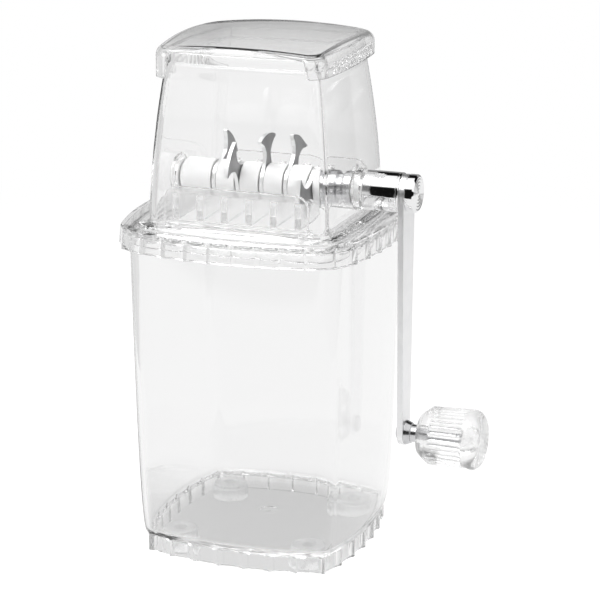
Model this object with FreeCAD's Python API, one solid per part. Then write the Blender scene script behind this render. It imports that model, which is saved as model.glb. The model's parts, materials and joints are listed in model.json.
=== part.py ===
import FreeCAD, Part

import math
import os

# Hand-cranked ice crusher, millimetres. Origin: centre of the resting plane, on the
# container's upright axis. +Z up, +X along the rotor towards the crank, -Y the front.

V = FreeCAD.Vector
X_AXIS, Y_AXIS, Z_AXIS = V(1, 0, 0), V(0, 1, 0), V(0, 0, 1)

# ---------------------------------------------------------------- container
SKIRT_TOP = 9.8            # top of the fluted foot skirt above the table
SKIRT_LIFT = 0.6           # skirt's lower edge above the table, so that the feet carry
RIM_HEIGHT = 159.0         # container's rim above the table
BASE_HALF = 46.3           # half width over the sides' ends, at the skirt's top
BASE_CORNER = 3.6          # how far the round corner eats into each side there
BASE_BOW = 6.2             # how far each side bulges past that half width
RIM_HALF = 52.9
RIM_CORNER = 12.0
RIM_BOW = 3.0
FLARE = 0.36               # power law of the flare from base to rim
CONTAINER_WALL = 2.3
FLOOR_THICKNESS = 2.5
SKIRT_WALL = 3.4           # measured from the ribs' outside
SKIRT_FLUTES = 7           # flutes on each side of the foot skirt
SKIRT_FLUTE_DEPTH = 1.4
GATE_RADIUS = 4.6          # round moulding mark in the middle of the floor
GATE_DEPTH = 0.5

# ---------------------------------------------------------------- feet
FOOT_RADIUS = 8.8
FOOT_OFFSET = 33.0         # foot centre from the axis, along X and along Y
FOOT_STUD_RADIUS = 3.0     # stud under the floor that the foot is pushed on
FOOT_STUD_LENGTH = 4.2
FOOT_FIT = 0.05

# ---------------------------------------------------------------- hopper housing
COLLAR_HALF = 58.9         # at the collar's lower edge
COLLAR_DRAFT = 1.2         # how much the collar narrows up to its top
COLLAR_CORNER = 17.2
COLLAR_BOW = 5.1
COLLAR_DROP = 6.9          # collar's lower edge below the container's rim
COLLAR_WALL = 2.6
COLLAR_FLUTES = 9
COLLAR_FLUTE_DEPTH = 1.4
PLATE_THICKNESS = 3.1
STEP_HEIGHT = 1.3          # raised step round the tower's foot
STEP_MARGIN = 5.5          # step's width beyond the tower
SPIGOT_DEPTH = 5.5         # lip that drops into the container's rim
SPIGOT_WALL = 2.0
SPIGOT_FIT = 0.5
TOWER_FOOT_HALF = 44.4
TOWER_CORNER = 7.0
TOWER_BOW = 2.2
TOWER_WALL = 2.5
TOWER_LEAN = 6.6           # how far each wall leans in from foot to shoulder
SHOULDER_DROP = 5.0        # shoulder below the tower's mouth
NECK_STEP = 1.3            # how far the neck stands inside the shoulder
TOWER_HEIGHT = 80.9        # tower's mouth above the plate
THROAT_LEDGE_X = 1.9       # plate left inside the tower's foot, left and right of the throat
THROAT_LEDGE_Y = 6.9       # in front of the throat and behind it

# ---------------------------------------------------------------- rotor
ROTOR_RISE = 14.9          # rotor's axis above the plate
DRUM_RADIUS = 9.0
BLADE_COUNT = 5
BLADE_THICKNESS = 2.0
BLADE_RING_SINK = 0.8      # blade's ring below the drum's surface
BLADE_REACH = 14.2         # claw's tip beyond the drum's surface
BLADE_HEAD_HALF_ANGLE = 24.0
BLADE_STEM_HALF = 2.7
BLADE_WAIST_RISE = 4.6     # narrowest place of the claw above the drum
BLADE_PHASES = (44.0, -52.0, 0.0, 27.0, -95.0)   # lean of each claw from upright, + is backwards
SQUARE = 6.4               # drive square of the shaft
SQUARE_FIT = 0.05
SHAFT_RADIUS = 4.5
JOURNAL_RADIUS = 3.0
RUNNING_FIT = 0.05
END_GAP = 0.4              # side play between turning and fixed faces
DRUM_TAPER = 2.4           # length of the drum's left cone
DRUM_TAPER_DROP = 2.6      # how much thinner the cone's end is
DRUM_RIGHT_LENGTH = 6.0    # drum beyond the last blade
HUB_RADIUS = 8.0
HUB_WAIST_RADIUS = 6.6

# ---------------------------------------------------------------- bearings
BOSS_RADIUS = 10.0
BOSS_INSET = 0.6           # boss's flat face inside the wall
BOSS_OUT_LEFT = 1.2        # boss outside the wall, left and right
BOSS_OUT_RIGHT = 2.4
BUSH_RADIUS = 6.3
BUSH_FLANGE_RADIUS = 8.0
BUSH_FLANGE = 0.8
BUSH_FIT = 0.05
BUSH_PROUD = 0.6           # right bush beyond its boss, so that the sleeve clears it
BUSH_CAP = 1.4             # closed end of the left bush

# ---------------------------------------------------------------- crank
SLEEVE_RADIUS = 9.4
ARM_CLEARANCE = 3.4        # collar's widest place to the crank's arm
SLEEVE_CHAMFER = 0.6
ARM_LENGTH = 117.3         # rotor's axis to the knob's axis
ARM_THICKNESS = 2.9
ARM_TOP_RADIUS = 8.9
ARM_BOTTOM_RADIUS = 6.0
NUT_RADIUS = 9.0
NUT_LENGTH = 4.6
NUT_CHAMFER = 0.9
STUB_RADIUS = 2.5
STUB_LENGTH = 3.6

# ---------------------------------------------------------------- knob
SPINDLE_RADIUS = 2.8
SPINDLE_NECK_RADIUS = 2.2  # where it passes through the arm
RIVET_RADIUS = 4.2
RIVET_HEIGHT = 1.5
WASHER_RADIUS = 6.0
WASHER_LENGTH = 6.8
KNOB_GAP = 0.4             # washer to knob
KNOB_LENGTH = 31.0
KNOB_NOSE_RADIUS = 9.5     # flat end by the arm
KNOB_NECK_LENGTH = 5.5     # cone from that end to the grip
KNOB_RADIUS = 13.9         # by the arm
KNOB_FLARE = 0.7           # how much the grip widens outwards
KNOB_DOME = 6.0            # length of the rounded outer end
KNOB_FACE_RADIUS = 9.0
KNOB_FLUTES = 36
KNOB_FLUTE_RADIUS = 0.8
KNOB_FLUTE_MARGIN = 1.6    # plain band each side of the flutes
SPINDLE_REACH = 22.0       # spindle inside the knob

# ---------------------------------------------------------------- combs
COMB_WALL_GAP = 0.5        # comb plate to the tower's wall
COMB_THICKNESS = 2.4
COMB_END_GAP = 6.9         # comb's end to the tower's side wall
COMB_HEIGHT = 19.4
COMB_CORNER = 6.0
COMB_FLANGE = 2.0
COMB_FLANGE_DEPTH = 7.0
TOOTH_THICKNESS = 3.0
TOOTH_ROOT = 3.5           # tooth's lower edge above the plate, at the comb
TOOTH_TIP_GAP = 1.4        # tooth to drum
TOOTH_TIP_HEIGHT = 5.0
TOOTH_SLOPE = 7.0          # how far the tooth's top falls towards the drum
TOOTH_TOP_DROP = 3.4       # tooth's top below the comb's top
TOOTH_END_INSET = 5.0      # outer tooth's middle from the comb's end
PEG_RADIUS = 1.8
PEG_INSET = 4.0            # peg's axis from the comb's end
PEG_FIT = 0.05

# ---------------------------------------------------------------- lid
LID_RISE = 7.0             # top of the dome above the tower's mouth
LID_WALL = 2.2
LID_GAP = 1.4              # lid's skirt to the tower's side
LID_CORNER = 9.5
LID_BOW = 1.6
LID_SKIRT_RIGHT = 8.0      # skirt below the tower's mouth, right and left
LID_SKIRT_LEFT = 11.6
LID_CROWN_RADIUS = 300.0   # gentle dome of the top
LID_EDGE = 5.0             # round between dome and skirt
LID_ARCH_END = 4.5         # front and back are cut away up to this far from the neck's sides
LID_ARCH_RISE = 2.4
GRIP_RIBS = 9
GRIP_PITCH = 5.2
GRIP_RIB_RADIUS = 0.8

PLATE_TOP = RIM_HEIGHT + PLATE_THICKNESS
ROTOR_Z = PLATE_TOP + ROTOR_RISE
MOUTH_HEIGHT = PLATE_TOP + TOWER_HEIGHT
LID_TOP = MOUTH_HEIGHT + LID_RISE
SHOULDER_HEIGHT = MOUTH_HEIGHT - SHOULDER_DROP
TOWER_SHOULDER_HALF = TOWER_FOOT_HALF - TOWER_LEAN
COLLAR_BOTTOM = RIM_HEIGHT - COLLAR_DROP
FLOOR_TOP = SKIRT_TOP + FLOOR_THICKNESS / 2
FLOOR_UNDER = FLOOR_TOP - FLOOR_THICKNESS
THROAT_HALF_X = TOWER_FOOT_HALF - TOWER_WALL - THROAT_LEDGE_X
THROAT_HALF_Y = TOWER_FOOT_HALF - TOWER_WALL - THROAT_LEDGE_Y
COMB_BACK = TOWER_FOOT_HALF - TOWER_WALL - COMB_WALL_GAP
COMB_HALF = TOWER_FOOT_HALF - TOWER_WALL - COMB_END_GAP
PEG_OFFSET = COMB_HALF - PEG_INSET
BLADE_PITCH = 2 * (COMB_HALF - TOOTH_END_INSET) / BLADE_COUNT
LID_ARCH_HALF = TOWER_SHOULDER_HALF - NECK_STEP - LID_ARCH_END
BLADE_RING_RADIUS = DRUM_RADIUS - BLADE_RING_SINK
BLADE_TIP_RADIUS = DRUM_RADIUS + BLADE_REACH
KNOB_Z = ROTOR_Z - ARM_LENGTH


def tower_half(z):
    """Half width of the tower's outside: almost upright at the foot, then leaning in."""
    share = max(0.0, (z - PLATE_TOP) / (SHOULDER_HEIGHT - PLATE_TOP))
    return TOWER_FOOT_HALF - TOWER_LEAN * share ** 1.7


# Flat faces along the rotor, from the wall outwards.
WALL_MID = tower_half(ROTOR_Z) + TOWER_BOW
BOSS_FACE = WALL_MID - TOWER_WALL - BOSS_INSET
BOSS_END_LEFT = WALL_MID + BOSS_OUT_LEFT
BOSS_END_RIGHT = WALL_MID + BOSS_OUT_RIGHT
LAST_BLADE = BLADE_PITCH * (BLADE_COUNT - 1) / 2
DRUM_RIGHT = LAST_BLADE + BLADE_THICKNESS / 2 + DRUM_RIGHT_LENGTH
DRUM_LEFT = -BOSS_FACE + BUSH_FLANGE + END_GAP
HUB_END = BOSS_FACE - BUSH_FLANGE - END_GAP
SLEEVE_START = BOSS_END_RIGHT + BUSH_PROUD + END_GAP
ARM_INNER = COLLAR_HALF + COLLAR_BOW + ARM_CLEARANCE
ARM_OUTER = ARM_INNER + ARM_THICKNESS
WASHER_END = ARM_OUTER + WASHER_LENGTH
KNOB_START = WASHER_END + KNOB_GAP


# ---------------------------------------------------------------- outlines
def bowed_square(half, corner, bow, z, inset=0.0):
    """Closed wire: a square with bulging sides and corners tangent to them."""
    reach = half - corner
    lean = 2 * math.atan(bow / reach)
    a = reach - inset * math.sin(lean)
    b = half - inset * math.cos(lean)
    middle = half + bow - inset
    corner_chord = (b - a) / math.sqrt(2)
    corner_sag = corner_chord * math.tan((math.pi / 4 - lean) / 2)
    c = (a + b) / 2 + corner_sag / math.sqrt(2)
    edges = []
    for quarter in range(4):
        turn = FreeCAD.Rotation(Z_AXIS, 90 * quarter)
        p, m, q, k, r = [turn.multVec(V(x, y, z)) for x, y in
                         ((-a, -b), (0, -middle), (a, -b), (c, -c), (b, -a))]
        edges.append(Part.Arc(p, m, q).toShape())
        edges.append(Part.Arc(q, k, r).toShape())
    return Part.Wire(edges)


def fluted_square(half, corner, bow, flutes, depth, z):
    """Closed wire: ribs on a bowed square, with a hollow flute of that depth between ribs."""
    reach = half - corner
    lean = 2 * math.atan(bow / reach)
    sag = corner / math.sqrt(2) * math.tan((math.pi / 4 - lean) / 2)
    tip = half - corner / 2 + sag / math.sqrt(2)
    radius = (reach * reach + bow * bow) / (2 * bow)
    ribs = []
    for i in range(flutes):
        x = tip * (2 * i / flutes - 1)
        y = tip if i == 0 else half + bow - radius + math.sqrt(radius * radius - x * x)
        ribs.append(V(x, -y, z))
    points = []
    for quarter in range(4):
        turn = FreeCAD.Rotation(Z_AXIS, 90 * quarter)
        points += [turn.multVec(p) for p in ribs]
    edges = []
    for i, p in enumerate(points):
        q = points[(i + 1) % len(points)]
        chord = q - p
        inward = V(-chord.y, chord.x, 0).normalize()
        valley = (p + q) * 0.5 + inward * depth
        edges.append(Part.Arc(p, valley, q).toShape())
    return Part.Wire(edges)


def prism(wire, height):
    return Part.Face(wire).extrude(V(0, 0, height))


def rod(radius, start, end, y=0.0, z=ROTOR_Z):
    """Cylinder along X between two x values."""
    return Part.makeCylinder(radius, end - start, V(start, y, z), X_AXIS)


def bar(size, start, end, y=0.0, z=ROTOR_Z):
    """Square bar along X between two x values."""
    return Part.makeBox(end - start, size, size, V(start, y - size / 2, z - size / 2))


def turned(profile, z):
    """Solid of revolution about X at height z; profile is a list of (x, radius)."""
    start, end = V(profile[0][0], 0, z), V(profile[-1][0], 0, z)
    points = [V(x, 0, z + radius) for x, radius in profile]
    wire = Part.makePolygon([start] + points + [end, start])
    return Part.Face(wire).revolve(V(0, 0, z), X_AXIS, 360)


# ---------------------------------------------------------------- container
def container_section(z, inset=0.0):
    share = max(0.0, (z - SKIRT_TOP) / (RIM_HEIGHT - SKIRT_TOP)) ** FLARE
    half = BASE_HALF + (RIM_HALF - BASE_HALF) * share
    corner = BASE_CORNER + (RIM_CORNER - BASE_CORNER) * share
    bow = BASE_BOW + (RIM_BOW - BASE_BOW) * share
    return bowed_square(half, corner, bow, z, inset)


def container_loft(bottom, inset):
    shares = (0.0, 0.03, 0.1, 0.25, 0.5, 0.75, 1.0)
    sections = [container_section(bottom + (RIM_HEIGHT - bottom) * s, inset) for s in shares]
    return Part.makeLoft(sections, True, False)


def foot_places():
    return [(side_x * FOOT_OFFSET, side_y * FOOT_OFFSET) for side_y in (-1, 1) for side_x in (-1, 1)]


def make_container():
    wall = container_loft(SKIRT_TOP, 0.0).cut(container_loft(FLOOR_TOP, CONTAINER_WALL))
    outline = fluted_square(BASE_HALF, BASE_CORNER, BASE_BOW, SKIRT_FLUTES, SKIRT_FLUTE_DEPTH, SKIRT_LIFT)
    skirt = prism(outline, SKIRT_TOP - SKIRT_LIFT)
    hollow = prism(bowed_square(BASE_HALF, BASE_CORNER, BASE_BOW, 0, SKIRT_WALL), FLOOR_UNDER)
    body = wall.fuse(skirt.cut(hollow))
    gate = Part.makeCylinder(GATE_RADIUS, GATE_DEPTH, V(0, 0, FLOOR_TOP - GATE_DEPTH))
    body = body.cut(gate)
    for x, y in foot_places():
        place = V(x, y, FLOOR_UNDER - FOOT_STUD_LENGTH)
        body = body.fuse(Part.makeCylinder(FOOT_STUD_RADIUS, FOOT_STUD_LENGTH + 0.5, place))
    return body.removeSplitter()


def make_foot(x, y):
    foot = Part.makeCylinder(FOOT_RADIUS, FLOOR_UNDER, V(x, y, 0))
    foot = foot.makeChamfer(0.8, [e for e in foot.Edges if e.Vertexes[0].Z < 0.01 and len(e.Vertexes) == 1])
    socket_depth = FOOT_STUD_LENGTH + 0.4
    socket = Part.makeCylinder(FOOT_STUD_RADIUS + FOOT_FIT, socket_depth, V(x, y, FLOOR_UNDER - socket_depth))
    return foot.cut(socket)


# ---------------------------------------------------------------- hopper housing
def tower_section(z, inset):
    return bowed_square(tower_half(z), TOWER_CORNER, TOWER_BOW, z, inset)


def tower_loft(inset):
    shares = (0.0, 0.25, 0.5, 0.75, 1.0)
    heights = [PLATE_TOP + (SHOULDER_HEIGHT - PLATE_TOP) * s for s in shares]
    return Part.makeLoft([tower_section(z, inset) for z in heights], True, False)


def neck(inset):
    section = bowed_square(TOWER_SHOULDER_HALF, TOWER_CORNER, TOWER_BOW, SHOULDER_HEIGHT, inset)
    return prism(section, SHOULDER_DROP)


def make_hopper_housing():
    top_half = COLLAR_HALF - COLLAR_DRAFT
    low = fluted_square(COLLAR_HALF, COLLAR_CORNER, COLLAR_BOW, COLLAR_FLUTES,
                        COLLAR_FLUTE_DEPTH, COLLAR_BOTTOM)
    high = fluted_square(top_half, COLLAR_CORNER, COLLAR_BOW, COLLAR_FLUTES, COLLAR_FLUTE_DEPTH, PLATE_TOP)
    collar = Part.makeLoft([low, high], True, True)
    inside = bowed_square(top_half, COLLAR_CORNER, COLLAR_BOW, COLLAR_BOTTOM, COLLAR_WALL)
    collar = collar.cut(prism(inside, COLLAR_DROP))
    step = prism(bowed_square(TOWER_FOOT_HALF + STEP_MARGIN, TOWER_CORNER + STEP_MARGIN / 2,
                              TOWER_BOW + 1, PLATE_TOP), STEP_HEIGHT)
    body = collar.fuse(step)
    spigot_section = [bowed_square(RIM_HALF, RIM_CORNER, RIM_BOW, RIM_HEIGHT - SPIGOT_DEPTH, inset)
                      for inset in (CONTAINER_WALL + SPIGOT_FIT, CONTAINER_WALL + SPIGOT_FIT + SPIGOT_WALL)]
    spigot = prism(spigot_section[0], SPIGOT_DEPTH).cut(prism(spigot_section[1], SPIGOT_DEPTH))
    body = body.fuse([spigot, tower_loft(0.0), neck(NECK_STEP)])
    body = body.cut(tower_loft(TOWER_WALL)).cut(neck(NECK_STEP + TOWER_WALL))
    throat = Part.makeBox(2 * THROAT_HALF_X, 2 * THROAT_HALF_Y, PLATE_THICKNESS + 1,
                          V(-THROAT_HALF_X, -THROAT_HALF_Y, RIM_HEIGHT - 0.5))
    throat = throat.makeFillet(5.0, [e for e in throat.Edges if abs(e.tangentAt(e.FirstParameter).z) > 0.99])
    body = body.cut(throat)
    right_boss = rod(BOSS_RADIUS, BOSS_FACE, BOSS_END_RIGHT)
    left_boss = rod(BOSS_RADIUS, -BOSS_END_LEFT, -BOSS_FACE)
    body = body.fuse([right_boss, left_boss])
    body = body.cut(rod(BUSH_RADIUS + BUSH_FIT, BOSS_FACE - 1, BOSS_END_RIGHT + 1))
    body = body.cut(rod(BUSH_RADIUS + BUSH_FIT, -BOSS_END_LEFT - 1, -BOSS_FACE + 1))
    for side_x in (-1, 1):
        for side_y in (-1, 1):
            place = V(side_x * PEG_OFFSET, side_y * peg_y(), RIM_HEIGHT - 1)
            body = body.cut(Part.makeCylinder(PEG_RADIUS + PEG_FIT, PLATE_THICKNESS + 2, place))
    return body.removeSplitter()


# ---------------------------------------------------------------- combs
def peg_y():
    return COMB_BACK - COMB_FLANGE_DEPTH / 2


def make_comb(side):
    """Toothed plate by the front (side -1) or back (side 1) wall; claws sweep between its teeth."""
    outline = Part.makeBox(2 * COMB_HALF, COMB_THICKNESS, COMB_HEIGHT,
                           V(-COMB_HALF, COMB_BACK - COMB_THICKNESS, PLATE_TOP))
    top_ends = [e for e in outline.Edges
                if e.Vertexes[0].Z > PLATE_TOP + 1 and e.Vertexes[-1].Z > PLATE_TOP + 1
                and abs(e.tangentAt(e.FirstParameter).y) > 0.99]
    comb = outline.makeFillet(COMB_CORNER, top_ends)
    flange = Part.makeBox(2 * COMB_HALF, COMB_FLANGE_DEPTH, COMB_FLANGE,
                          V(-COMB_HALF, COMB_BACK - COMB_FLANGE_DEPTH, PLATE_TOP))
    comb = comb.fuse(flange)
    root_y = COMB_BACK - COMB_THICKNESS / 2
    tip_y = DRUM_RADIUS + TOOTH_TIP_GAP
    top = PLATE_TOP + COMB_HEIGHT - TOOTH_TOP_DROP
    tip_top = top - TOOTH_SLOPE
    profile = [(root_y, PLATE_TOP + TOOTH_ROOT), (root_y, top),
               (tip_y, tip_top), (tip_y, tip_top - TOOTH_TIP_HEIGHT)]
    for i in range(BLADE_COUNT + 1):
        x = BLADE_PITCH * (i - BLADE_COUNT / 2) - TOOTH_THICKNESS / 2
        points = [V(x, y, z) for y, z in profile]
        tooth = Part.Face(Part.makePolygon(points + [points[0]])).extrude(V(TOOTH_THICKNESS, 0, 0))
        comb = comb.fuse(tooth)
    for side_x in (-1, 1):
        place = V(side_x * PEG_OFFSET, peg_y(), RIM_HEIGHT)
        comb = comb.fuse(Part.makeCylinder(PEG_RADIUS, PLATE_THICKNESS + 1, place))
    comb = comb.removeSplitter()
    return comb if side > 0 else comb.mirror(V(0, 0, 0), Y_AXIS)


# ---------------------------------------------------------------- bearings
def make_left_bush():
    """Closed bush: its flange sits on the inside boss, its cap shuts the hole outside."""
    inner_end = -BOSS_FACE + BUSH_FLANGE
    bush = rod(BUSH_RADIUS, -BOSS_END_LEFT, -BOSS_FACE)
    bush = bush.fuse(rod(BUSH_FLANGE_RADIUS, -BOSS_FACE, inner_end))
    bore = rod(JOURNAL_RADIUS + RUNNING_FIT, -BOSS_END_LEFT + BUSH_CAP, inner_end + 1)
    return bush.removeSplitter().cut(bore)


def make_right_bush():
    inner_end, outer_end = BOSS_FACE - BUSH_FLANGE, BOSS_END_RIGHT + BUSH_PROUD
    bush = rod(BUSH_RADIUS, BOSS_FACE, outer_end)
    bush = bush.fuse(rod(BUSH_FLANGE_RADIUS, inner_end, BOSS_FACE))
    bore = rod(SHAFT_RADIUS + RUNNING_FIT, inner_end - 1, outer_end + 1)
    return bush.removeSplitter().cut(bore)


# ---------------------------------------------------------------- rotor
def make_shaft():
    """Left journal, drive square through the drum, round journal, square for the arm, stub."""
    shaft = rod(JOURNAL_RADIUS, -BOSS_END_LEFT + BUSH_CAP + END_GAP, DRUM_LEFT + 1)
    shaft = shaft.fuse(bar(SQUARE, DRUM_LEFT + 1, DRUM_RIGHT))
    shaft = shaft.fuse(rod(SHAFT_RADIUS, DRUM_RIGHT, ARM_INNER))
    shaft = shaft.fuse(bar(SQUARE, ARM_INNER, ARM_OUTER))
    return shaft.fuse(rod(STUB_RADIUS, ARM_OUTER, ARM_OUTER + STUB_LENGTH)).removeSplitter()


def square_hole(start, end):
    return bar(SQUARE + 2 * SQUARE_FIT, start, end)


def make_spacer(gap):
    start = BLADE_PITCH * (gap - (BLADE_COUNT - 1) / 2) + BLADE_THICKNESS / 2
    end = start + BLADE_PITCH - BLADE_THICKNESS
    return rod(DRUM_RADIUS, start, end).cut(square_hole(start - 1, end + 1))


def make_drum_left_end():
    end = -LAST_BLADE - BLADE_THICKNESS / 2
    cone_end = DRUM_LEFT + DRUM_TAPER
    profile = [(DRUM_LEFT, DRUM_RADIUS - DRUM_TAPER_DROP), (cone_end, DRUM_RADIUS), (end, DRUM_RADIUS)]
    body = turned(profile, ROTOR_Z)
    body = body.cut(square_hole(DRUM_LEFT + 1, end + 1))
    return body.cut(rod(JOURNAL_RADIUS + RUNNING_FIT, DRUM_LEFT - 1, DRUM_LEFT + 1))


def make_drum_right_end():
    start = LAST_BLADE + BLADE_THICKNESS / 2
    return rod(DRUM_RADIUS, start, DRUM_RIGHT).cut(square_hole(start - 1, DRUM_RIGHT + 1))


def make_blade(number):
    """Steel ring with one hatchet-headed claw, leaning by its phase."""
    angle = math.radians(BLADE_HEAD_HALF_ANGLE)
    tip_y, tip_z = BLADE_TIP_RADIUS * math.sin(angle), BLADE_TIP_RADIUS * math.cos(angle)
    barb_z = tip_z - 1.2
    waist_z = DRUM_RADIUS + BLADE_WAIST_RISE
    hollow_y = BLADE_STEM_HALF + (tip_y - BLADE_STEM_HALF) * 0.34
    hollow_z = waist_z + (barb_z - waist_z) * 0.62
    foot_y = BLADE_RING_RADIUS * 0.75
    foot_z = math.sqrt(BLADE_RING_RADIUS ** 2 - foot_y ** 2)
    left = [V(0, -tip_y, tip_z), V(0, -tip_y * 0.96, barb_z),
            V(0, -BLADE_STEM_HALF, waist_z), V(0, -foot_y, foot_z)]
    right = [V(0, -p.y, p.z) for p in left]
    edges = [Part.Arc(left[0], V(0, 0, BLADE_TIP_RADIUS), right[0]).toShape(),
             Part.makeLine(right[0], right[1]),
             Part.Arc(right[1], V(0, hollow_y, hollow_z), right[2]).toShape(),
             Part.Arc(right[2], right[2] + V(0, 0.6, -3.2), right[3]).toShape(),
             Part.makeLine(right[3], left[3]),
             Part.Arc(left[3], left[2] + V(0, -0.6, -3.2), left[2]).toShape(),
             Part.Arc(left[2], V(0, -hollow_y, hollow_z), left[1]).toShape(),
             Part.makeLine(left[1], left[0])]
    claw = Part.Face(Part.Wire(edges)).extrude(V(BLADE_THICKNESS, 0, 0))
    ring = Part.makeCylinder(BLADE_RING_RADIUS, BLADE_THICKNESS, V(0, 0, 0), X_AXIS)
    blade = claw.fuse(ring).removeSplitter()
    blade.rotate(V(0, 0, 0), X_AXIS, -BLADE_PHASES[number])
    start = BLADE_PITCH * (number - (BLADE_COUNT - 1) / 2) - BLADE_THICKNESS / 2
    blade.translate(V(start, 0, ROTOR_Z))
    return blade.cut(square_hole(start - 1, start + BLADE_THICKNESS + 1))


def make_thrust_hub():
    """Waisted steel collar on the shaft between the drum and the right bearing."""
    third = (HUB_END - DRUM_RIGHT) / 3
    profile = [(DRUM_RIGHT, HUB_RADIUS), (DRUM_RIGHT + third, HUB_RADIUS),
               (DRUM_RIGHT + 1.2 * third, HUB_WAIST_RADIUS), (DRUM_RIGHT + 1.8 * third, HUB_WAIST_RADIUS),
               (HUB_END - third, HUB_RADIUS), (HUB_END, HUB_RADIUS)]
    return turned(profile, ROTOR_Z).cut(rod(SHAFT_RADIUS + SQUARE_FIT, DRUM_RIGHT - 1, HUB_END + 1))


# ---------------------------------------------------------------- crank
def make_sleeve():
    c = SLEEVE_CHAMFER
    profile = [(SLEEVE_START, SLEEVE_RADIUS - c), (SLEEVE_START + c, SLEEVE_RADIUS),
               (ARM_INNER - c, SLEEVE_RADIUS), (ARM_INNER, SLEEVE_RADIUS - c)]
    return turned(profile, ROTOR_Z).cut(rod(SHAFT_RADIUS + SQUARE_FIT, SLEEVE_START - 1, ARM_INNER + 1))


def make_arm():
    """Flat bar hanging from the shaft, narrowing from the eye to the knob's pin."""
    slope = (ARM_TOP_RADIUS - ARM_BOTTOM_RADIUS) / ARM_LENGTH
    cos_t = math.sqrt(1 - slope * slope)
    top = [V(ARM_INNER, s * ARM_TOP_RADIUS * cos_t, ROTOR_Z - ARM_TOP_RADIUS * slope) for s in (-1, 1)]
    low = [V(ARM_INNER, s * ARM_BOTTOM_RADIUS * cos_t, KNOB_Z - ARM_BOTTOM_RADIUS * slope) for s in (-1, 1)]
    edges = [Part.Arc(top[0], V(ARM_INNER, 0, ROTOR_Z + ARM_TOP_RADIUS), top[1]).toShape(),
             Part.makeLine(top[1], low[1]),
             Part.Arc(low[1], V(ARM_INNER, 0, KNOB_Z - ARM_BOTTOM_RADIUS), low[0]).toShape(),
             Part.makeLine(low[0], top[0])]
    arm = Part.Face(Part.Wire(edges)).extrude(V(ARM_THICKNESS, 0, 0))
    arm = arm.cut(square_hole(ARM_INNER - 1, ARM_OUTER + 1))
    return arm.cut(rod(SPINDLE_NECK_RADIUS + SQUARE_FIT, ARM_INNER - 1, ARM_OUTER + 1, 0, KNOB_Z))


def make_cap_nut():
    c = NUT_CHAMFER
    end = ARM_OUTER + NUT_LENGTH
    profile = [(ARM_OUTER, NUT_RADIUS), (end - c, NUT_RADIUS), (end, NUT_RADIUS - c)]
    hole = rod(STUB_RADIUS + SQUARE_FIT, ARM_OUTER - 1, ARM_OUTER + STUB_LENGTH + 0.2)
    return turned(profile, ROTOR_Z).cut(hole)


# ---------------------------------------------------------------- knob
def make_spindle():
    """Riveted pin: rivet head inside the arm, neck through it, journal inside the knob."""
    head_start = ARM_INNER - RIVET_HEIGHT
    profile = [(head_start, RIVET_RADIUS * 0.7), (head_start + RIVET_HEIGHT * 0.6, RIVET_RADIUS),
               (ARM_INNER, RIVET_RADIUS)]
    pin = turned(profile, KNOB_Z)
    pin = pin.fuse(rod(SPINDLE_NECK_RADIUS, ARM_INNER, ARM_OUTER, 0, KNOB_Z))
    return pin.fuse(rod(SPINDLE_RADIUS, ARM_OUTER, KNOB_START + SPINDLE_REACH, 0, KNOB_Z)).removeSplitter()


def make_washer():
    """Stepped spacer on the spindle that keeps the knob off the arm."""
    middle = ARM_OUTER + WASHER_LENGTH * 0.45
    profile = [(ARM_OUTER, WASHER_RADIUS), (middle, WASHER_RADIUS * 0.8), (middle, SPINDLE_RADIUS + 1.4),
               (WASHER_END, SPINDLE_RADIUS + 1.4)]
    hole = rod(SPINDLE_RADIUS + SQUARE_FIT, ARM_OUTER - 1, WASHER_END + 1, 0, KNOB_Z)
    return turned(profile, KNOB_Z).cut(hole)


def make_knob():
    end = KNOB_START + KNOB_LENGTH
    grip_start = KNOB_START + KNOB_NECK_LENGTH
    grip_end = end - KNOB_DOME
    outer = KNOB_RADIUS + KNOB_FLARE
    points = [V(x, 0, KNOB_Z + r) for x, r in
              ((KNOB_START, 0), (KNOB_START, KNOB_NOSE_RADIUS), (grip_start, KNOB_RADIUS), (grip_end, outer))]
    bend = V(grip_end + KNOB_DOME * 0.72, 0, KNOB_Z + KNOB_FACE_RADIUS + (outer - KNOB_FACE_RADIUS) * 0.72)
    face_rim, face_middle = V(end, 0, KNOB_Z + KNOB_FACE_RADIUS), V(end, 0, KNOB_Z)
    edges = [Part.makeLine(points[i], points[i + 1]) for i in range(3)]
    edges += [Part.Arc(points[3], bend, face_rim).toShape(), Part.makeLine(face_rim, face_middle),
              Part.makeLine(face_middle, points[0])]
    knob = Part.Face(Part.Wire(edges)).revolve(V(0, 0, KNOB_Z), X_AXIS, 360)
    tilt = math.degrees(math.atan(KNOB_FLARE / (grip_end - grip_start)))
    length = grip_end - grip_start - 2 * KNOB_FLUTE_MARGIN
    groove = Part.makeCylinder(KNOB_FLUTE_RADIUS, length, V(0, 0, 0), X_AXIS)
    groove.rotate(V(0, 0, 0), Y_AXIS, -tilt)
    groove.translate(V(grip_start + KNOB_FLUTE_MARGIN, 0, KNOB_Z + KNOB_RADIUS + 0.1))
    grooves = []
    for i in range(KNOB_FLUTES):
        copy = groove.copy()
        copy.rotate(V(0, 0, KNOB_Z), X_AXIS, 360 * i / KNOB_FLUTES)
        grooves.append(copy)
    knob = knob.cut(grooves)
    bore_end = KNOB_START + SPINDLE_REACH + END_GAP
    return knob.cut(rod(SPINDLE_RADIUS + RUNNING_FIT, KNOB_START - 1, bore_end, 0, KNOB_Z))


# ---------------------------------------------------------------- lid
def lid_outer_half():
    return tower_half(MOUTH_HEIGHT - LID_SKIRT_RIGHT) + LID_GAP + LID_WALL


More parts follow.
